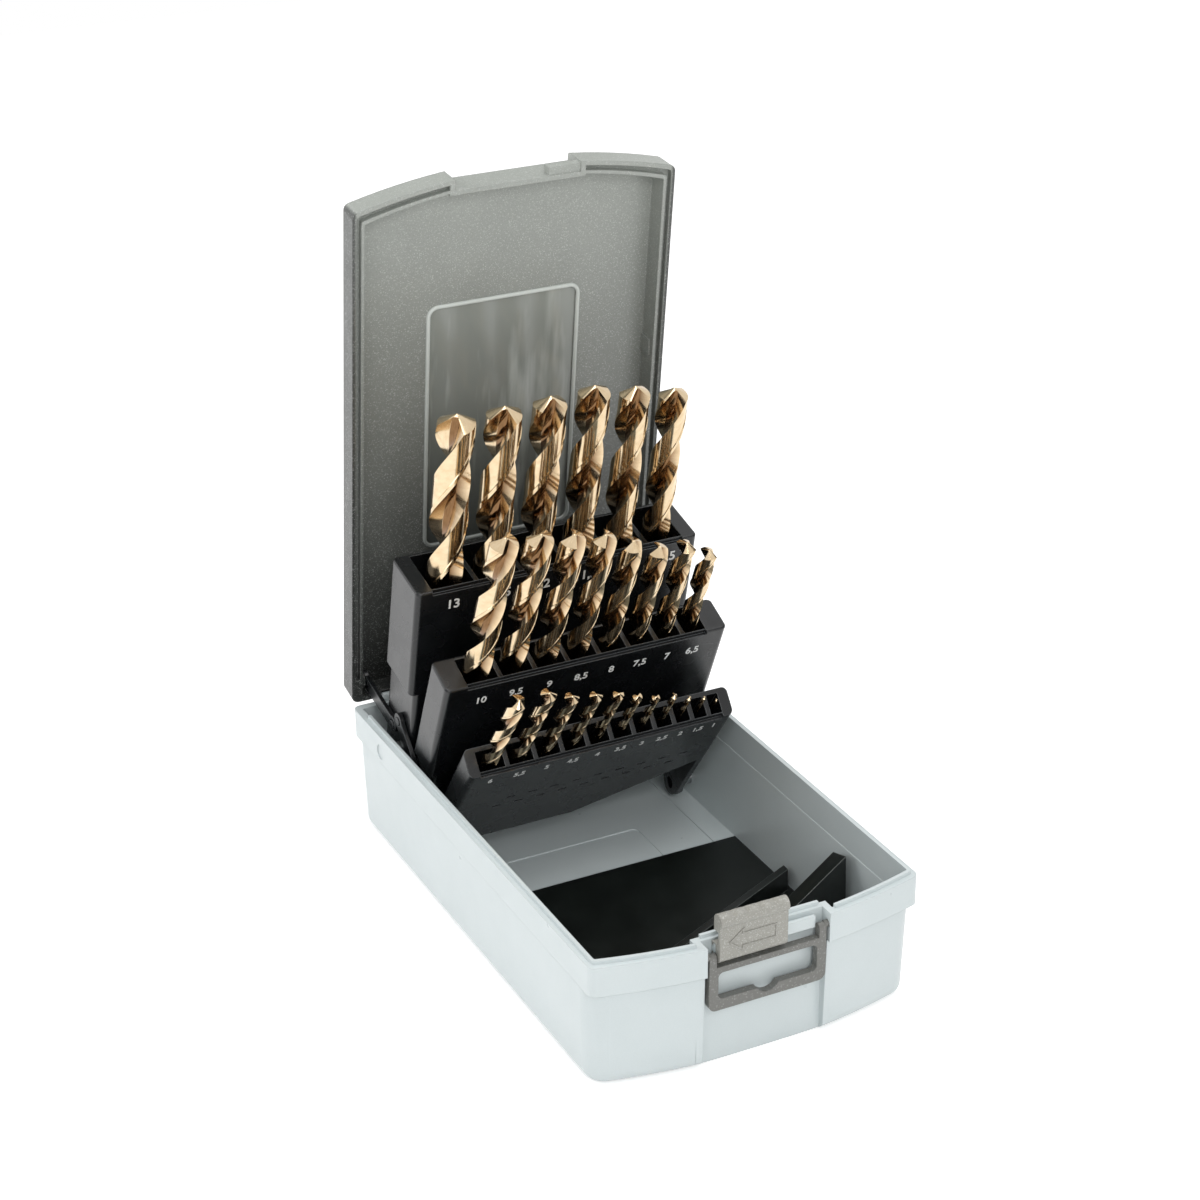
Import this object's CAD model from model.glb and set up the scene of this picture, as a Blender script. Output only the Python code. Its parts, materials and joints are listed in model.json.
import json
import math
import bmesh
import bpy
import numpy as np
from mathutils import Matrix, Vector

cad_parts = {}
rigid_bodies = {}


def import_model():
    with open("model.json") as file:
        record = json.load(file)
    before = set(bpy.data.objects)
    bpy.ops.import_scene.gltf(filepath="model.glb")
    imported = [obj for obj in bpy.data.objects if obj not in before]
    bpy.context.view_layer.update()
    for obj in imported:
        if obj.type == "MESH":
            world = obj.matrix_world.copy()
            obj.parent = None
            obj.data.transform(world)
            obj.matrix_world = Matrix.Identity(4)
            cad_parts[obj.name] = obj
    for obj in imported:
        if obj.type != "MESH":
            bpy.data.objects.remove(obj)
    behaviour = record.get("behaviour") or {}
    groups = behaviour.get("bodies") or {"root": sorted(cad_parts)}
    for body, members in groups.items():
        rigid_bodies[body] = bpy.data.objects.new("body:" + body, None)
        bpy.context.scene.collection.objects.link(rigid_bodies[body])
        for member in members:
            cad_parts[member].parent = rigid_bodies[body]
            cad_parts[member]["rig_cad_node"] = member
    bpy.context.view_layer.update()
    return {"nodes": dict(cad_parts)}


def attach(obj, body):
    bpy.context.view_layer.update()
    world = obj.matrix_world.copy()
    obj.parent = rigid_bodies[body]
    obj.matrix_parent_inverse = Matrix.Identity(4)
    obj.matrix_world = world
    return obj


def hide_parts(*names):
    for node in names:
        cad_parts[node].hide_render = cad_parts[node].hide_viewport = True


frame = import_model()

mm = 0.001
print("frame loaded,", len(frame["nodes"]), "nodes")


# helpers

def srgb(hexText):
    # sRGB hex to linear colour
    parts = np.array([int(hexText[i:i + 2], 16) for i in (1, 3, 5)]) / 255
    linear = np.where(parts <= 0.04045, parts / 12.92, ((parts + 0.055) / 1.055) ** 2.4)
    return (*[float(v) for v in linear], 1.0)


def addNode(tree, kind, settings=None, links=None):
    # one node; settings are its properties or socket values, links are socket = another output
    made = tree.nodes.new(kind)
    for key, value in (settings or {}).items():
        if isinstance(key, int) or key in made.inputs:
            made.inputs[key].default_value = value
        else:
            setattr(made, key, value)
    for key, output in (links or {}).items():
        tree.links.new(output, made.inputs[key])
    return made


def newMaterial(name):
    made = bpy.data.materials.new(name)
    made.use_nodes = True
    made.node_tree.nodes.clear()
    return made, made.node_tree


def seenDirectly(tree):
    # 1 for rays from the camera, a reflection or a clear piece, 0 for the rays that light things
    rays = addNode(tree, "ShaderNodeLightPath")
    plain = addNode(tree, "ShaderNodeMath", {"operation": "MAXIMUM"},
                    {0: rays.outputs["Is Camera Ray"], 1: rays.outputs["Is Glossy Ray"]})
    made = addNode(tree, "ShaderNodeMath", {"operation": "MAXIMUM"},
                   {0: plain.outputs[0], 1: rays.outputs["Is Transmission Ray"]})
    return made.outputs[0]


def gridMesh(name, points, wrapColumns=True, uv=None):
    # rows x columns x 3 points become quads; uv is rows x columns x 2
    rows, columns = points.shape[:2]
    index = np.arange(rows * columns).reshape(rows, columns)
    right = np.roll(index, -1, axis=1) if wrapColumns else index[:, 1:]
    left = index if wrapColumns else index[:, :-1]
    quads = np.stack([left[:-1], right[:-1], right[1:], left[1:]], axis=-1).reshape(-1, 4)
    mesh = bpy.data.meshes.new(name)
    mesh.from_pydata(points.reshape(-1, 3), [], quads.tolist())
    if uv is not None:
        layer = mesh.uv_layers.new(name="UVMap")
        flat = uv.reshape(-1, 2)[quads.reshape(-1)]
        if wrapColumns:
            # where the last column meets the first, the first's u goes on from the last's
            perQuad = flat.reshape(-1, 4, 2)
            u = perQuad[:, :, 0]
            widest = uv[..., 0].max()
            jumps = (u.max(axis=1) - u.min(axis=1)) > widest * 0.5
            u += np.where(jumps[:, None] & (u < widest * 0.5), widest + uv[0, 1, 0], 0)
            flat = perQuad.reshape(-1, 2)
        layer.data.foreach_set("uv", flat.ravel())
    return mesh


def mergePoles(mesh):
    # points that fall on one another, as at a pole or a seam, become one vertex
    work = bmesh.new()
    work.from_mesh(mesh)
    bmesh.ops.remove_doubles(work, verts=work.verts, dist=1e-7)
    work.to_mesh(mesh)
    work.free()


def addPiece(name, mesh, material, body, smoothAngle):
    mesh.polygons.foreach_set("use_smooth", [True] * len(mesh.polygons))
    mesh.set_sharp_from_angle(angle=math.radians(smoothAngle))
    mesh.materials.append(material)
    piece = bpy.data.objects.new(name, mesh)
    bpy.context.scene.collection.objects.link(piece)
    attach(piece, body)
    return piece


# frames of the moving parts, as the CAD places them

def leanFrame(pivotY, pivotZ, lean):
    # columns: x along the rack, y up the drills, z out of the front, then the pivot
    tilt = math.radians(lean)
    return Matrix((
        (1, 0, 0, 0),
        (0, -math.sin(tilt), -math.cos(tilt), pivotY * mm),
        (0, math.cos(tilt), -math.sin(tilt), pivotZ * mm),
        (0, 0, 0, 1),
    ))


# all in mm and degrees; each drill is its diameter, its length, its flutes' length and what it shows
racks = {
    "rear_rack": {
        "frame": leanFrame(69.5, 39.4, 13.5), "half": 47.2, "top": 75.0, "front": 9.2, "rowOut": 0.6,
        "labelDrop": 7.0, "labelHeight": 3.6,
        "drills": [(13.0, 151, 101, 64.5), (12.5, 151, 101, 64.0), (12.0, 151, 101, 64.5),
                   (11.5, 142, 94, 65.5), (11.0, 142, 94, 62.0), (10.5, 133, 87, 58.2)],
    },
    "middle_rack": {
        "frame": leanFrame(56.0, 21.4, 24.0), "half": 45.0, "top": 71.4, "front": 6.4, "rowOut": -0.4,
        "labelDrop": 8.5, "labelHeight": 3.0,
        "drills": [(10.0, 133, 87, 64.0), (9.5, 125, 81, 62.0), (9.0, 125, 81, 58.5),
                   (8.5, 117, 75, 55.0), (8.0, 117, 75, 49.0), (7.5, 109, 69, 43.0),
                   (7.0, 109, 69, 42.0), (6.5, 101, 63, 35.5)],
    },
    "front_rack": {
        "frame": leanFrame(51.0, 9.0, 36.0), "half": 46.0, "top": 64.5, "front": 5.2, "rowOut": 0.4,
        "labelDrop": 8.6, "labelHeight": 2.5,
        "drills": [(6.0, 93, 57, 40.5), (5.5, 93, 57, 40.4), (5.0, 86, 52, 33.5),
                   (4.5, 80, 47, 30.0), (4.0, 75, 43, 26.5), (3.5, 70, 39, 21.0),
                   (3.0, 61, 33, 16.5), (2.5, 57, 30, 14.0), (2.0, 49, 24, 9.0),
                   (1.5, 40, 18, 6.0), (1.0, 34, 12, 1.5)],
    },
}
partitionWidth = 1.7        # between two cells


def cellCentres(rack):
    # cells share evenly what the drills and partitions leave of the rack's width
    sizes = np.array([drill[0] for drill in rack["drills"]])
    spare = 2 * rack["half"] - partitionWidth * (len(sizes) - 1) - sizes.sum()
    widths = sizes + spare / len(sizes)
    lefts = -rack["half"] + np.concatenate([[0], np.cumsum(widths + partitionWidth)[:-1]])
    return lefts + widths / 2


# materials

flakeLook = {
    "bright": (0.84, 1.0),      # share of the flakes that catch the light, and the strongest
    "dull": (0.0, 0.3),         # share that lie on edge
    "lit": "#F6F8F6",
    "unlit": "#3C403E",
    "cloud": 18,                # mm, slow drift of the body colour
    "peel": 0.6,                # mm, orange peel of the mould
    "scuff": 7,                 # mm, handling in the gloss
    "edge": 0.4,                # mm, rounding of the moulded edges
    "wall": (56.8, 57.8),       # mm from the middle, where the lid's side walls begin
    "wallShare": 0.85,
}


def flakeAbs(name, colour, dark, flakeAmount, roughness, flakeSize=0.45, tint=None):
    # injection moulded ABS with aluminium flake: even body colour, scattered bright points, soft gloss
    look = flakeLook
    made, tree = newMaterial(name)
    place = addNode(tree, "ShaderNodeTexCoord").outputs["Object"]
    # flakes are about 0.15 mm; they are drawn larger so that they show
    flakes = addNode(tree, "ShaderNodeTexVoronoi", {"Scale": 1 / (flakeSize * mm)}, {"Vector": place})
    pick = addNode(tree, "ShaderNodeSeparateColor", links={"Color": flakes.outputs["Color"]})
    low, high = look["bright"]
    bright = addNode(tree, "ShaderNodeMapRange",
                     {"From Min": low, "From Max": high, "To Min": 0.0, "To Max": flakeAmount},
                     {"Value": pick.outputs["Red"]})
    low, high = look["dull"]
    dull = addNode(tree, "ShaderNodeMapRange",
                   {"From Min": low, "From Max": high, "To Min": flakeAmount * 0.6, "To Max": 0.0},
                   {"Value": pick.outputs["Green"]})
    cloud = addNode(tree, "ShaderNodeTexNoise",
                    {"Scale": 1 / (look["cloud"] * mm), "Detail": 3.0}, {"Vector": place})
    body = addNode(tree, "ShaderNodeMix", {"data_type": "RGBA", 6: srgb(dark), 7: srgb(colour)},
                   {0: cloud.outputs["Fac"]})
    if tint:
        # the smoke is denser towards the hinge
        split = addNode(tree, "ShaderNodeSeparateXYZ", links={0: place})
        low, high = tint["heights"]
        share = addNode(tree, "ShaderNodeMapRange",
                        {"From Min": low * mm, "From Max": high * mm, "To Min": 1.0, "To Max": 0.0},
                        {"Value": split.outputs["Z"]})
        body = addNode(tree, "ShaderNodeMix", {"data_type": "RGBA", 7: srgb(tint["colour"])},
                       {0: share.outputs["Result"], 6: body.outputs[2]})
        # and in the side walls, which are seen edge on
        aside = addNode(tree, "ShaderNodeMath", {"operation": "ABSOLUTE"}, {0: split.outputs["X"]})
        low, high = look["wall"]
        wall = addNode(tree, "ShaderNodeMapRange",
                       {"From Min": low * mm, "From Max": high * mm, "To Min": 0.0,
                        "To Max": look["wallShare"]},
                       {"Value": aside.outputs[0]})
        body = addNode(tree, "ShaderNodeMix", {"data_type": "RGBA", 7: srgb(tint["colour"])},
                       {0: wall.outputs["Result"], 6: body.outputs[2]})
    lifted = addNode(tree, "ShaderNodeMix", {"data_type": "RGBA", 7: srgb(look["lit"])},
                     {0: bright.outputs["Result"], 6: body.outputs[2]})
    sunk = addNode(tree, "ShaderNodeMix", {"data_type": "RGBA", 7: srgb(look["unlit"])},
                   {0: dull.outputs["Result"], 6: lifted.outputs[2]})
    # moulded skin: orange peel, handling scuffs in the gloss and edges that are never sharp
    peel = addNode(tree, "ShaderNodeTexNoise",
                   {"Scale": 1 / (look["peel"] * mm), "Detail": 2.0}, {"Vector": place})
    scuff = addNode(tree, "ShaderNodeTexNoise",
                    {"Scale": 1 / (look["scuff"] * mm), "Detail": 2.0}, {"Vector": place})
    rough = addNode(tree, "ShaderNodeMapRange",
                    {"From Min": 0.1, "From Max": 0.9,
                     "To Min": roughness - 0.05, "To Max": roughness + 0.08},
                    {"Value": scuff.outputs["Fac"]})
    rounded = addNode(tree, "ShaderNodeBevel", {"samples": 6, "Radius": look["edge"] * mm})
    bump = addNode(tree, "ShaderNodeBump", {"Strength": 0.08, "Distance": 0.04 * mm},
                   {"Height": peel.outputs["Fac"], "Normal": rounded.outputs["Normal"]})
    shader = addNode(tree, "ShaderNodeBsdfPrincipled", {"IOR": 1.54},
                     {"Base Color": sunk.outputs[2], "Roughness": rough.outputs["Result"],
                      "Normal": bump.outputs["Normal"]})
    addNode(tree, "ShaderNodeOutputMaterial", links={"Surface": shader.outputs[0]})
    return made


paneLook = {
    "heights": (90, 200),               # mm, where the smoke is densest and thinnest
    "streaks": (140.0, 140.0, 9.0),     # noise scales per metre: upright streaks about 7 mm wide
    "bands": (0.52, 0.70),              # noise values of a clear and of a full streak
    "bandShare": 0.7,
}


def smokedPane(name, thin, thick, streak):
    # clear smoked ABS: denser towards the hinge, with upright flow streaks
    look = paneLook
    made, tree = newMaterial(name)
    place = addNode(tree, "ShaderNodeTexCoord").outputs["Object"]
    split = addNode(tree, "ShaderNodeSeparateXYZ", links={0: place})
    low, high = look["heights"]
    share = addNode(tree, "ShaderNodeMapRange",
                    {"From Min": low * mm, "From Max": high * mm, "To Min": 1.0, "To Max": 0.0},
                    {"Value": split.outputs["Z"]})
    body = addNode(tree, "ShaderNodeMix", {"data_type": "RGBA", 6: srgb(thin), 7: srgb(thick)},
                   {0: share.outputs["Result"]})
    stretch = addNode(tree, "ShaderNodeMapping", {"Scale": look["streaks"]}, {"Vector": place})
    flow = addNode(tree, "ShaderNodeTexNoise",
                   {"Scale": 1.0, "Detail": 3.0}, {"Vector": stretch.outputs[0]})
    low, high = look["bands"]
    bands = addNode(tree, "ShaderNodeMapRange",
                    {"From Min": low, "From Max": high, "To Min": 0.0, "To Max": look["bandShare"]},
                    {"Value": flow.outputs["Fac"]})
    lit = addNode(tree, "ShaderNodeMix", {"data_type": "RGBA", 7: srgb(streak)},
                  {0: bands.outputs["Result"], 6: body.outputs[2]})
    bump = addNode(tree, "ShaderNodeBump", {"Strength": 0.15, "Distance": 0.2 * mm},
                   {"Height": flow.outputs["Fac"]})
    shader = addNode(tree, "ShaderNodeBsdfPrincipled", {"IOR": 1.54, "Roughness": 0.12},
                     {"Base Color": lit.outputs[2], "Normal": bump.outputs["Normal"]})
    addNode(tree, "ShaderNodeOutputMaterial", links={"Surface": shader.outputs[0]})
    return made


polypropyleneLook = {
    "grain": 0.35,              # mm, spark-eroded texture
    "rub": 9,                   # mm, patches greyed by handling
    "edge": 0.5,                # mm, rounding of the edges
    "burnish": (0.97, 0.80),    # agreement of the rounded and the flat normal, from unworn to worn
}


def satinPolypropylene(name, colour, wear, roughness, edge):
    # black moulded polypropylene: spark-eroded texture, greyer where it has been rubbed
    look = polypropyleneLook
    made, tree = newMaterial(name)
    place = addNode(tree, "ShaderNodeTexCoord").outputs["Object"]
    grain = addNode(tree, "ShaderNodeTexNoise",
                    {"Scale": 1 / (look["grain"] * mm), "Detail": 3.0}, {"Vector": place})
    rub = addNode(tree, "ShaderNodeTexNoise",
                  {"Scale": 1 / (look["rub"] * mm), "Detail": 2.0}, {"Vector": place})
    body = addNode(tree, "ShaderNodeMix", {"data_type": "RGBA", 6: srgb(colour), 7: srgb(wear)},
                   {0: rub.outputs["Fac"]})
    rough = addNode(tree, "ShaderNodeMapRange",
                    {"From Min": 0.1, "From Max": 0.9,
                     "To Min": roughness - 0.04, "To Max": roughness + 0.08},
                    {"Value": rub.outputs["Fac"]})
    rounded = addNode(tree, "ShaderNodeBevel", {"samples": 6, "Radius": look["edge"] * mm})
    bump = addNode(tree, "ShaderNodeBump", {"Strength": 0.06, "Distance": 0.03 * mm},
                   {"Height": grain.outputs["Fac"], "Normal": rounded.outputs["Normal"]})
    # edges burnished paler: where the rounded normal leaves the flat one
    flat = addNode(tree, "ShaderNodeNewGeometry")
    same = addNode(tree, "ShaderNodeVectorMath", {"operation": "DOT_PRODUCT"},
                   {0: rounded.outputs["Normal"], 1: flat.outputs["Normal"]})
    unworn, worn = look["burnish"]
    edgeShare = addNode(tree, "ShaderNodeMapRange",
                        {"From Min": unworn, "From Max": worn, "To Min": 0.0, "To Max": 1.0},
                        {"Value": same.outputs["Value"]})
    rimmed = addNode(tree, "ShaderNodeMix", {"data_type": "RGBA", 7: srgb(edge)},
                     {0: edgeShare.outputs["Result"], 6: body.outputs[2]})
    shader = addNode(tree, "ShaderNodeBsdfPrincipled", {"IOR": 1.49},
                     {"Base Color": rimmed.outputs[2], "Roughness": rough.outputs["Result"],
                      "Normal": bump.outputs["Normal"]})
    addNode(tree, "ShaderNodeOutputMaterial", links={"Surface": shader.outputs[0]})
    return made


def bronzeTintedSteel(name):
    # cobalt high speed steel, ground and tempered: straw lands with fine grinding lines, browner flutes
    made, tree = newMaterial(name)
    uvs = addNode(tree, "ShaderNodeTexCoord").outputs["UV"]
    land = addNode(tree, "ShaderNodeAttribute", {"attribute_name": "land"}).outputs["Fac"]
    # uv is in millimetres; lines 0.08 mm apart round the shank, drawn at 0.25 mm so that they show
    stretch = addNode(tree, "ShaderNodeMapping", {"Scale": (0.25, 4.0, 1.0)}, {"Vector": uvs})
    lines = addNode(tree, "ShaderNodeTexNoise",
                    {"Scale": 1.0, "Detail": 3.0}, {"Vector": stretch.outputs[0]})
    stain = addNode(tree, "ShaderNodeTexNoise", {"Scale": 0.35, "Detail": 4.0}, {"Vector": uvs})
    flute = addNode(tree, "ShaderNodeMix",
                    {"data_type": "RGBA", 6: srgb("#5C4229"), 7: srgb("#937150")},
                    {0: stain.outputs["Fac"]})
    ground = addNode(tree, "ShaderNodeMix",
                     {"data_type": "RGBA", 6: srgb("#C9AC84"), 7: srgb("#EAD8B8")},
                     {0: stain.outputs["Fac"]})
    body = addNode(tree, "ShaderNodeMix", {"data_type": "RGBA"},
                   {0: land, 6: flute.outputs[2], 7: ground.outputs[2]})
    rough = addNode(tree, "ShaderNodeMapRange",
                    {"From Min": 0.3, "From Max": 0.7, "To Min": 0.10, "To Max": 0.20},
                    {"Value": lines.outputs["Fac"]})
    bump = addNode(tree, "ShaderNodeBump", {"Strength": 0.10, "Distance": 0.01 * mm},
                   {"Height": lines.outputs["Fac"]})
    shader = addNode(tree, "ShaderNodeBsdfPrincipled", {"Metallic": 1.0},
                     {"Base Color": body.outputs[2], "Roughness": rough.outputs["Result"],
                      "Normal": bump.outputs["Normal"]})
    addNode(tree, "ShaderNodeOutputMaterial", links={"Surface": shader.outputs[0]})
    return made


def drawnWire(name):
    # bright drawn steel wire: long faint lines along X
    made, tree = newMaterial(name)
    place = addNode(tree, "ShaderNodeTexCoord").outputs["Object"]
    stretch = addNode(tree, "ShaderNodeMapping", {"Scale": (60.0, 4000.0, 4000.0)}, {"Vector": place})
    lines = addNode(tree, "ShaderNodeTexNoise",
                    {"Scale": 1.0, "Detail": 2.0}, {"Vector": stretch.outputs[0]})
    body = addNode(tree, "ShaderNodeMix", {"data_type": "RGBA", 6: srgb("#8F9294"), 7: srgb("#C4C6C8")},
                   {0: lines.outputs["Fac"]})
    shader = addNode(tree, "ShaderNodeBsdfPrincipled", {"Metallic": 1.0, "Roughness": 0.3},
                     {"Base Color": body.outputs[2]})
    addNode(tree, "ShaderNodeOutputMaterial", links={"Surface": shader.outputs[0]})
    return made


def padPrint(name):
    # white pad-printing ink: flat, very slightly patchy
    made, tree = newMaterial(name)
    place = addNode(tree, "ShaderNodeTexCoord").outputs["Object"]
    patch = addNode(tree, "ShaderNodeTexNoise",
                    {"Scale": 1 / (0.5 * mm), "Detail": 3.0}, {"Vector": place})
    body = addNode(tree, "ShaderNodeMix", {"data_type": "RGBA", 6: srgb("#C9CCCA"), 7: srgb("#F2F3F1")},
                   {0: patch.outputs["Fac"]})
    shader = addNode(tree, "ShaderNodeBsdfPrincipled", {"Roughness": 0.6},
                     {"Base Color": body.outputs[2]})
    addNode(tree, "ShaderNodeOutputMaterial", links={"Surface": shader.outputs[0]})
    return made


# heights in mm, where the tint is densest and where it ends
lidTint = {"colour": "#222422", "heights": (50, 250)}
beadTint = {"colour": "#5A5E5B", "heights": (60, 190)}
trayAbs = flakeAbs("pale_flake_abs", "#C7CFD0", "#BFC8C9", 0.05, 0.30, 0.2)
lidAbs = flakeAbs("smoke_flake_abs", "#A4A8A2", "#969A94", 0.24, 0.33, 0.28, lidTint)
windowAbs = smokedPane("clear_smoke_abs", "#8F938D", "#333634", "#A9ADA8")
latchAbs = flakeAbs("silver_flake_abs", "#989790", "#8A8982", 0.25, 0.34, 0.28)
beadAbs = flakeAbs("clear_bead_abs", "#C9CEC9", "#BDC2BD", 0.04, 0.12, 0.45, beadTint)
hangerAbs = flakeAbs("dim_flake_abs", "#6C6C68", "#62625E", 0.12, 0.34)
rackPlastic = satinPolypropylene("black_polypropylene", "#08090A", "#141618", 0.25, "#4B4F51")
guardPlastic = satinPolypropylene("black_guard_polypropylene", "#0A0C0B", "#151A18", 0.30, "#686D6A")
drillSteel = bronzeTintedSteel("bronze_cobalt_steel")
wireSteel = drawnWire("drawn_steel_wire")
inkWhite = padPrint("white_pad_ink")

nodeMaterials = {
    "base_shell": trayAbs, "lid_shell": lidAbs, "latch_slider": latchAbs, "hanger": hangerAbs,
    "rear_rack": rackPlastic, "middle_rack": rackPlastic, "front_rack": rackPlastic,
    "lid_links": rackPlastic, "rear_middle_links": rackPlastic, "middle_front_links": rackPlastic,
    "tip_guard": guardPlastic, "hinge_pins": wireSteel, "rack_pivot_pins": wireSteel,
}
for item in bpy.context.scene.objects:
    nodeName = item.get("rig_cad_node")
    if nodeName in nodeMaterials:
        for slotItem in item.material_slots:
            slotItem.material = nodeMaterials[nodeName]
print("materials set")

# drills

drillLook = {
    "leadRatio": 5.44,      # height of one turn of the helix, in diameters
    "fluteCentre": 0.98,    # in radii
    "fluteRadius": 0.80,
    "marginWidth": 0.26,    # radians of full radius behind each cutting edge
    "clearance": 0.955,     # land behind the margin, in radii
    "pointHeight": 0.50,    # cone height, in radii
    "lipRelief": 0.20,      # drop from lip to heel, in radii
    "runOut": 1.1,          # flute fade at the shank, in diameters
    "chamfer": 0.07,        # at the foot of the shank, in diameters
    "rowStep": 0.08,        # height of a row of the flutes, in diameters
    "fluteSteps": 23,       # points across a flute, a heel and a margin
    "heelSteps": 9,
    "marginSteps": 4,
    "heelStep": 0.04,       # radians from the flute to the heel
    "marginStep": 0.03,     # radians from the heel up to the margin, and from it to the flute
}


def drillSection():
    # radius against angle for half a turn: a flute cut by a circle, then margin, step and land
    look = drillLook
    centre, cut = look["fluteCentre"], look["fluteRadius"]
    edge = math.acos((1 + centre ** 2 - cut ** 2) / (2 * centre))
    fluteSteps, heelSteps, marginSteps = look["fluteSteps"], look["heelSteps"], look["marginSteps"]
    inFlute = np.linspace(-edge, edge, fluteSteps)
    fluteRho = centre * np.cos(inFlute) - np.sqrt(cut ** 2 - (centre * np.sin(inFlute)) ** 2)
    landStart, landEnd = edge, math.pi - edge
    # going round from the flute, the heel comes first and the margin last
    marginStart, step = landEnd - look["marginWidth"], look["marginStep"]
    heel = np.linspace(landStart + look["heelStep"], marginStart, heelSteps)
    margin = np.linspace(marginStart + step, landEnd - step, marginSteps)
    angle = np.concatenate([inFlute, heel, margin])
    rho = np.concatenate([fluteRho, np.full(heelSteps, look["clearance"]), np.ones(marginSteps)])
    rho[fluteSteps - 1] = look["clearance"]
    land = np.concatenate([np.zeros(fluteSteps), np.ones(heelSteps + marginSteps)])
    land[[0, fluteSteps - 1]] = 1
    # how far behind the lip, 0 at the margin's edge and 1 at the heel, back to 0 across the flute
    behind = np.concatenate([
        (inFlute + edge) / (2 * edge),
        (landEnd - heel) / (landEnd - landStart),
        (landEnd - margin) / (landEnd - landStart),
    ])
    both = np.concatenate([angle, angle + math.pi])
    return both, np.tile(rho, 2), np.tile(land, 2), np.tile(behind, 2)


def drillMesh(name, diameter, overall, fluteLength):
    # section(angle) carried up the axis and turned by height / lead; the top rows close on a cone
    # point = radius * (cos, sin)(angle + turn(z)), z = rows * (top - cone * rho - relief * behind)
    look = drillLook
    radius = diameter / 2
    angle, rho, land, behind = drillSection()
    lead = look["leadRatio"] * diameter
    shank = overall - fluteLength
    rim = overall - radius * (look["pointHeight"] * rho + look["lipRelief"] * rho * behind)
    fluteRows = int(fluteLength / (look["rowStep"] * diameter))
    fractions = np.linspace(0, 1, fluteRows)[:, None]
    z = shank + fractions * (rim - shank)[None, :]
    fade = np.clip((z - shank) / (look["runOut"] * diameter), 0, 1)
    fade = fade * fade * (3 - 2 * fade)
    radii = radius * (1 - (1 - rho)[None, :] * fade)
    lands = 1 - (1 - land)[None, :] * fade
    # plain shank below, closed by a chamfered foot
    chamfer = look["chamfer"] * diameter
    footZ = np.array([0, 0, chamfer, shank * 0.35, shank * 0.7, shank * 0.98])[:, None]
    footR = radius * np.array([0.0, 0.88, 1, 1, 1, 1])[:, None]
    wide = np.ones((1, len(angle)))
    # cap rows shrink the rim to the axis
    shrink = np.array([0.85, 0.65, 0.45, 0.28, 0.12, 0.0])[:, None]
    capZ = overall - radius * shrink * rho * (look["pointHeight"] + look["lipRelief"] * behind)
    allZ = np.vstack([footZ * wide, z, capZ])
    allR = np.vstack([footR * wide, radii, radius * shrink * rho])
    turnZ = np.vstack([footZ * wide, z, np.repeat(rim[None, :], len(shrink), axis=0)])
    turn = 2 * math.pi * (turnZ - shank) / lead + math.pi / 2
    turned = angle[None, :] + np.where(turnZ < shank, math.pi / 2, turn)
    points = np.stack([allR * np.cos(turned), allR * np.sin(turned), allZ], axis=-1)
    uv = np.stack([np.broadcast_to(angle * radius, allZ.shape), allZ], axis=-1)
    mesh = gridMesh(name, points * mm, uv=uv)
    layer = mesh.attributes.new("land", "FLOAT", "POINT")
    allLand = np.vstack([np.ones(footZ.shape) * wide, lands, np.ones(shrink.shape) * wide])
    layer.data.foreach_set("value", allLand.ravel())
    return mesh


for rack in racks.values():
    for (diameter, overall, fluteLength, shown), x in zip(rack["drills"], cellCentres(rack)):
        nodeName = "drill_" + ("%.1f" % diameter).replace(".", "_")
        mesh = drillMesh(nodeName + "_ground", diameter, overall, fluteLength)
        mergePoles(mesh)
        foot = rack["top"] - (overall - shown)
        # drill axis stands along the rack's y; the section's y looks out of the back
        stand = Matrix((
            (1, 0, 0, x * mm),
            (0, 0, 1, foot * mm),
            (0, -1, 0, rack["rowOut"] * mm),
            (0, 0, 0, 1),
        ))
        mesh.transform(rack["frame"] @ stand)
        piece = addPiece(nodeName + "_ground", mesh, drillSteel, nodeName, 32)
        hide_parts(nodeName)
print("drills ground")

# numbers printed on the racks

numberLook = {
    "proud": 0.03,          # mm, half the ink's thickness
    "stroke": 0.10,         # mm added round the font's outline, for digits as tall as strokeHeight
    "strokeHeight": 3.5,
    "digitShare": 0.70,     # height of a digit for a font size of 1
}


def numberMesh(text, height):
    # the built-in font's outline, filled and given the thickness of ink
    look = numberLook
    curve = bpy.data.curves.new("ink", "FONT")
    curve.body = text
    curve.size = height * mm / look["digitShare"]
    curve.align_x = "CENTER"
    curve.align_y = "CENTER"
    curve.extrude = look["proud"] * mm
    curve.offset = look["stroke"] * mm * height / look["strokeHeight"]
    curve.resolution_u = 4
    holder = bpy.data.objects.new("ink", curve)
    bpy.context.scene.collection.objects.link(holder)
    mesh = bpy.data.meshes.new_from_object(holder)
    bpy.data.objects.remove(holder)
    bpy.data.curves.remove(curve)
    return mesh


def joinMeshes(name, meshes):
    points, faces, start = [], [], 0
    for part in meshes:
        flat = np.empty(len(part.vertices) * 3)
        part.vertices.foreach_get("co", flat)
        points.append(flat.reshape(-1, 3))
        faces += [[start + i for i in face.vertices] for face in part.polygons]
        start += len(part.vertices)
        bpy.data.meshes.remove(part)
    mesh = bpy.data.meshes.new(name)
    mesh.from_pydata(np.concatenate(points), [], faces)
    return mesh


for rackName, rack in racks.items():
    labels = []
    y = rack["top"] - rack["labelDrop"]
    z = rack["front"] + numberLook["proud"]
    for drill, x in zip(rack["drills"], cellCentres(rack)):
        mesh = numberMesh(("%g" % drill[0]).replace(".", ","), rack["labelHeight"])
        mesh.transform(Matrix.Translation((x * mm, y * mm, z * mm)))
        mesh.transform(rack["frame"])
        labels.append(mesh)
    mesh = joinMeshes(rackName + "_numbers", labels)
    piece = addPiece(rackName + "_numbers", mesh, inkWhite, rackName, 20)
print("numbers printed")

# bead round the lid's window, its clear pane, and the arrow on the latch

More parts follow.
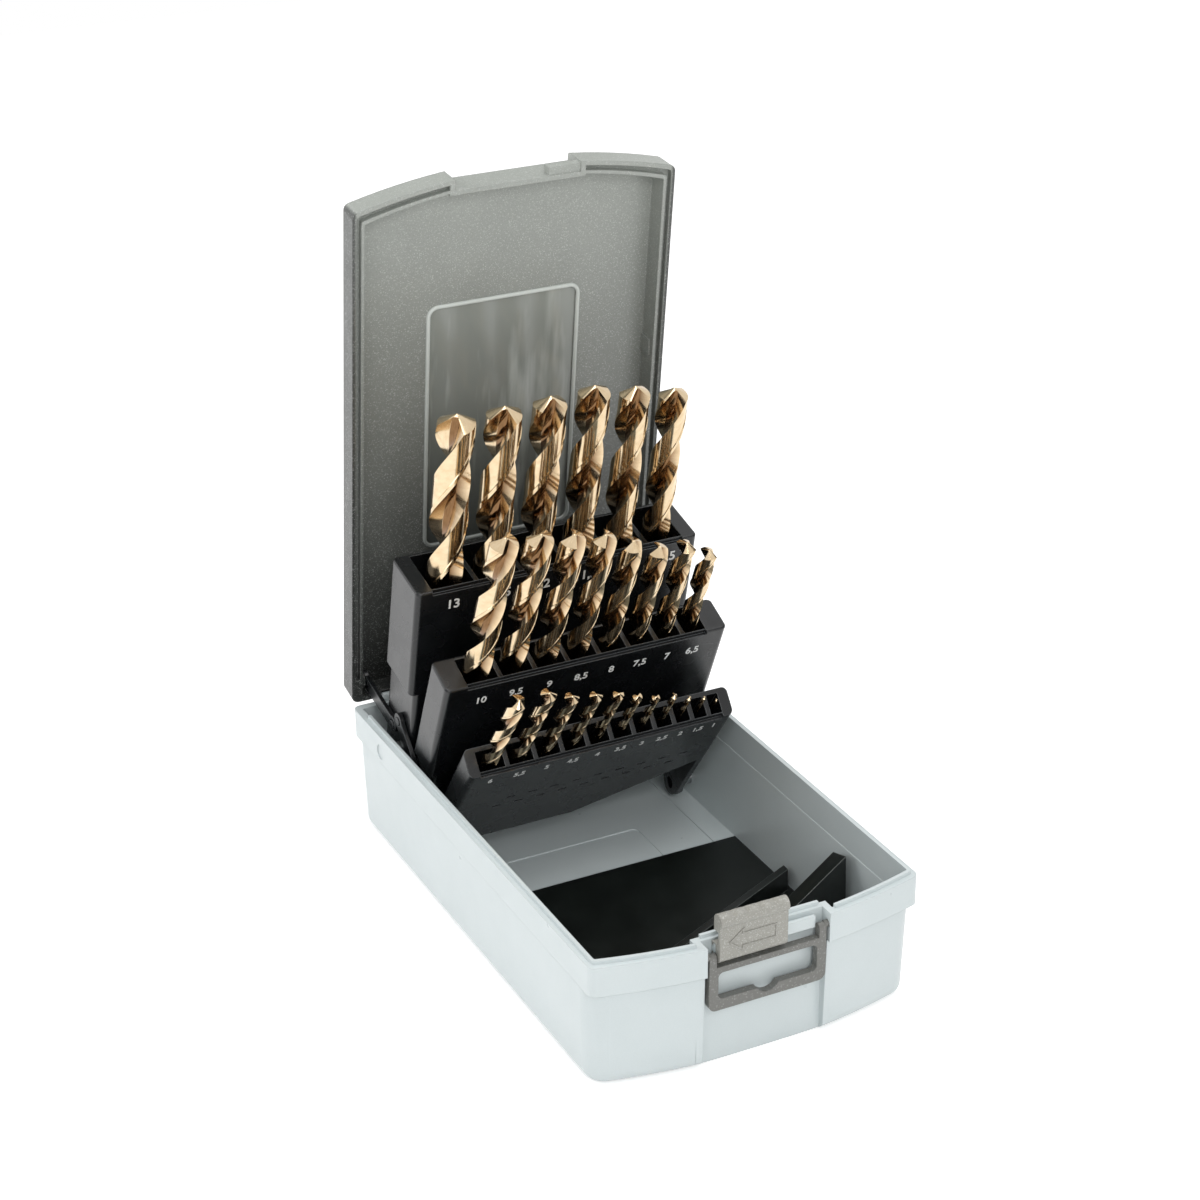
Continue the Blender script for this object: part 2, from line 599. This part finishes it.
lidFrame = leanFrame(95.1, 46.2, 7.2)      # z looks out of the lid's inside here
windowLook = {
    "half": 27.5,               # mm, half the opening's width
    "ends": (55.0, 147.0),      # its ends, up the lid from the hinge
    "corner": 3.0,
    "inside": -7.6,             # the lid's inside face
    "bead": 0.75,               # radius of the bead
    "beadFoot": 0.6,            # how far out its middle lies, in bead radii
    "paneInset": 0.25,
    "paneLift": 0.78,           # depth of the pane's back below the inside face
    "paneThickness": 0.3,
}


def roundedPath(halfX, low, high, radius, perCorner=10):
    # corner centres plus radius * (cos, sin), a quarter turn each; also the outward normals
    centres = [(halfX - radius, low + radius), (halfX - radius, high - radius),
               (-halfX + radius, high - radius), (-halfX + radius, low + radius)]
    quarters = [np.linspace(start, start + 90, perCorner) for start in (-90, 0, 90, 180)]
    turns = np.radians(np.concatenate(quarters))
    normals = np.stack([np.cos(turns), np.sin(turns)], axis=-1)
    return np.repeat(np.array(centres), perCorner, axis=0) + radius * normals, normals


def beadMesh(name, look):
    # half round section carried round the window: path + bead * (cos t * normal, sin t * out)
    path, normals = roundedPath(look["half"], *look["ends"], look["corner"])
    t = np.radians(np.linspace(-30, 210, 13))[:, None]
    across = look["bead"] * (look["beadFoot"] + np.cos(t))[..., None] * normals[None]
    height = look["inside"] + look["bead"] * np.sin(t) * np.ones((1, len(path)))
    points = np.dstack([path[None] + across, height])
    closed = np.concatenate([points, points[:1]])
    return gridMesh(name, closed * mm)


beadPiece = beadMesh("lid_window_bead", windowLook)
mergePoles(beadPiece)
beadPiece.transform(lidFrame)
addPiece("lid_window_bead", beadPiece, beadAbs, "lid", 50)


def paneMesh(name, look):
    # rings that start and end in the middle: back face, rim, front face
    inset, thickness = look["paneInset"], look["paneThickness"]
    low, high = look["ends"]
    path = roundedPath(look["half"] - inset, low + inset, high - inset, look["corner"])[0]
    middle = path.mean(axis=0)
    rings = []
    for size, lift in ((0.0, 0.0), (1.0, 0.0), (1.0, thickness), (0.0, thickness)):
        height = np.full(len(path), look["inside"] - look["paneLift"] + lift)
        rings.append(np.column_stack([middle + (path - middle) * size, height]))
    return gridMesh(name, np.stack(rings) * mm)


panePiece = paneMesh("lid_window_pane", windowLook)
mergePoles(panePiece)
panePiece.transform(lidFrame)
addPiece("lid_window_pane", panePiece, windowAbs, "lid", 20)

arrowLook = {
    "face": -101.8,             # mm, where the latch's front stands on the case's Y
    "centre": (-6.4, 46.0),     # on the case's X and Z
    "length": 17.0,
    "height": 8.6,
    "shaft": 5.0,               # width of the shaft
    "head": 5.4,                # length of the head
    "line": 0.55,               # width of the raised line
    "proud": 0.22,
}


def arrowOutline(look, inset):
    # arrow pointing left, drawn in by the inset along every side
    slope = look["height"] / 2 / look["head"]
    cut = inset / math.sin(math.atan(slope))
    tip = look["length"] / 2 - cut
    tail = look["length"] / 2 - inset
    neck = look["length"] / 2 - look["head"] + inset
    barb = (look["head"] - inset - cut) * slope
    half = look["shaft"] / 2 - inset
    points = [
        (-tip, 0), (-neck, -barb), (-neck, -half), (tail, -half),
        (tail, half), (-neck, half), (-neck, barb),
    ]
    return np.array(points) + np.array(look["centre"])


def arrowMesh(name, look):
    # outer wall, top, inner wall and underside of the raised line
    rows = []
    for inset, out in ((0, 0), (0, 1), (look["line"], 1), (look["line"], 0), (0, 0)):
        flat = arrowOutline(look, inset)
        depth = np.full(len(flat), look["face"] - out * look["proud"])
        rows.append(np.column_stack([flat[:, 0], depth, flat[:, 1]]))
    return gridMesh(name, np.stack(rows) * mm)


arrowPiece = arrowMesh("latch_arrow", arrowLook)
mergePoles(arrowPiece)
addPiece("latch_arrow", arrowPiece, latchAbs, "latch_slider", 20)
print("bead, pane and arrow made")

# stage, light and camera

stageLook = {
    "floorSize": 2.6,               # m
    "floorColour": "#F2F2F2",
    "floorGlow": 0.36,              # added where the floor is looked at, so that it reads white
    "worldLight": 0.68,             # strength of the white world as a light; 1 where it is looked at
    "lampTarget": (0, 0, 0.08),
    "cardDistance": 1.3,            # m from the middle
    "cardHeight": 1.1,
}
white = (1, 1, 1, 1)

floorCorners = np.array([[[-1, -1, 0], [1, -1, 0]], [[-1, 1, 0], [1, 1, 0]]], float)
floorMesh = gridMesh("floor", floorCorners * stageLook["floorSize"] / 2, wrapColumns=False)
floor = bpy.data.objects.new("floor", floorMesh)
bpy.context.scene.collection.objects.link(floor)
floorMaterial, tree = newMaterial("studio_floor")
matte = addNode(tree, "ShaderNodeBsdfDiffuse", {"Color": srgb(stageLook["floorColour"])})
lift = addNode(tree, "ShaderNodeMath", {"operation": "MULTIPLY", 1: stageLook["floorGlow"]},
               {0: seenDirectly(tree)})
glow = addNode(tree, "ShaderNodeEmission", {"Color": white}, {"Strength": lift.outputs[0]})
both = addNode(tree, "ShaderNodeAddShader", links={0: matte.outputs[0], 1: glow.outputs[0]})
addNode(tree, "ShaderNodeOutputMaterial", links={"Surface": both.outputs[0]})
floorMesh.materials.append(floorMaterial)

world = bpy.data.worlds.new("studio")
world.use_nodes = True
bpy.context.scene.world = world
tree = world.node_tree
tree.nodes.clear()
strength = addNode(tree, "ShaderNodeMapRange", {"To Min": stageLook["worldLight"], "To Max": 1.0},
                   {"Value": seenDirectly(tree)})
sky = addNode(tree, "ShaderNodeBackground", {"Color": white}, {"Strength": strength.outputs["Result"]})
addNode(tree, "ShaderNodeOutputWorld", links={"Surface": sky.outputs[0]})

# square softboxes: places and sizes in metres, power in watts
softboxes = {
    "left": {"at": (-0.95, 0.45, 0.55), "size": 0.8, "power": 4.2},
    "above": {"at": (0.15, -0.1, 1.3), "size": 0.9, "power": 6.5},
    "front": {"at": (-0.25, -1.3, 0.9), "size": 0.6, "power": 7.5},
}
for lampName, look in softboxes.items():
    lamp = bpy.data.lights.new(lampName, "AREA")
    lamp.shape = "SQUARE"
    lamp.size = look["size"]
    lamp.energy = look["power"]
    holder = bpy.data.objects.new(lampName, lamp)
    holder.location = look["at"]
    aim = Vector(stageLook["lampTarget"]) - Vector(look["at"])
    holder.rotation_euler = aim.to_track_quat("-Z", "Y").to_euler()
    bpy.context.scene.collection.objects.link(holder)

# black cards that only reflections see; they give the ground steel its dark streaks
cards = {
    "left": {"azimuth": -78, "width": 0.55},
    "front": {"azimuth": 2, "width": 0.40},
    "right": {"azimuth": 62, "width": 0.60},
    "back": {"azimuth": 165, "width": 0.8},
}
cardMaterial, tree = newMaterial("black_card")
black = addNode(tree, "ShaderNodeBsdfDiffuse", {"Color": srgb("#050505")})
addNode(tree, "ShaderNodeOutputMaterial", links={"Surface": black.outputs[0]})
for cardName, look in cards.items():
    turn = math.radians(look["azimuth"])
    away = np.array([math.sin(turn), -math.cos(turn), 0.0])
    along = np.array([math.cos(turn), math.sin(turn), 0.0]) * look["width"] / 2
    tall = np.array([0, 0, stageLook["cardHeight"]])
    foot = away * stageLook["cardDistance"]
    corners = np.array([[foot - along, foot + along], [foot - along + tall, foot + along + tall]])
    cardMesh = gridMesh("card_" + cardName, corners, wrapColumns=False)
    cardMesh.materials.append(cardMaterial)
    card = bpy.data.objects.new("card_" + cardName, cardMesh)
    bpy.context.scene.collection.objects.link(card)
    for kind in ("camera", "diffuse", "transmission", "volume_scatter", "shadow"):
        setattr(card, "visible_" + kind, False)

cameraLook = {
    "azimuth": -27.0374, "elevation": 25.7292, "roll": -0.2492, "distance": 1.048146,
    "target": (0.071038, 0.139910, 0.040),
    "frame": 1200,                  # pixels, the square picture that the camera was fitted in
    "pixels": 2681.68,              # focal length
    "axis": (617.61, 598.76),       # where the optical axis meets the picture
    "sensor": 36,
}


def aimCamera(look):
    # stands back from the target along the view angle, with its up side turned by the roll
    a, e, r = (math.radians(look[k]) for k in ("azimuth", "elevation", "roll"))
    back = Vector((math.sin(a) * math.cos(e), -math.cos(a) * math.cos(e), math.sin(e)))
    right = Vector((0, 0, 1)).cross(back).normalized()
    up = back.cross(right)
    turnedRight = math.cos(r) * right + math.sin(r) * up
    turnedUp = -math.sin(r) * right + math.cos(r) * up
    place = Vector(look["target"]) + back * look["distance"]
    data = bpy.data.cameras.new("camera")
    size = look["frame"]
    data.sensor_width = look["sensor"]
    data.lens = look["pixels"] * look["sensor"] / size
    data.shift_x = (size / 2 - look["axis"][0]) / size
    data.shift_y = (look["axis"][1] - size / 2) / size
    data.clip_end = 20
    holder = bpy.data.objects.new("camera", data)
    holder.matrix_world = Matrix((
        (turnedRight[0], turnedUp[0], back[0], place[0]),
        (turnedRight[1], turnedUp[1], back[1], place[1]),
        (turnedRight[2], turnedUp[2], back[2], place[2]),
        (0, 0, 0, 1),
    ))
    bpy.context.scene.collection.objects.link(holder)
    bpy.context.scene.camera = holder


aimCamera(cameraLook)
bpy.context.scene.view_settings.view_transform = "Standard"
print("stage lit")
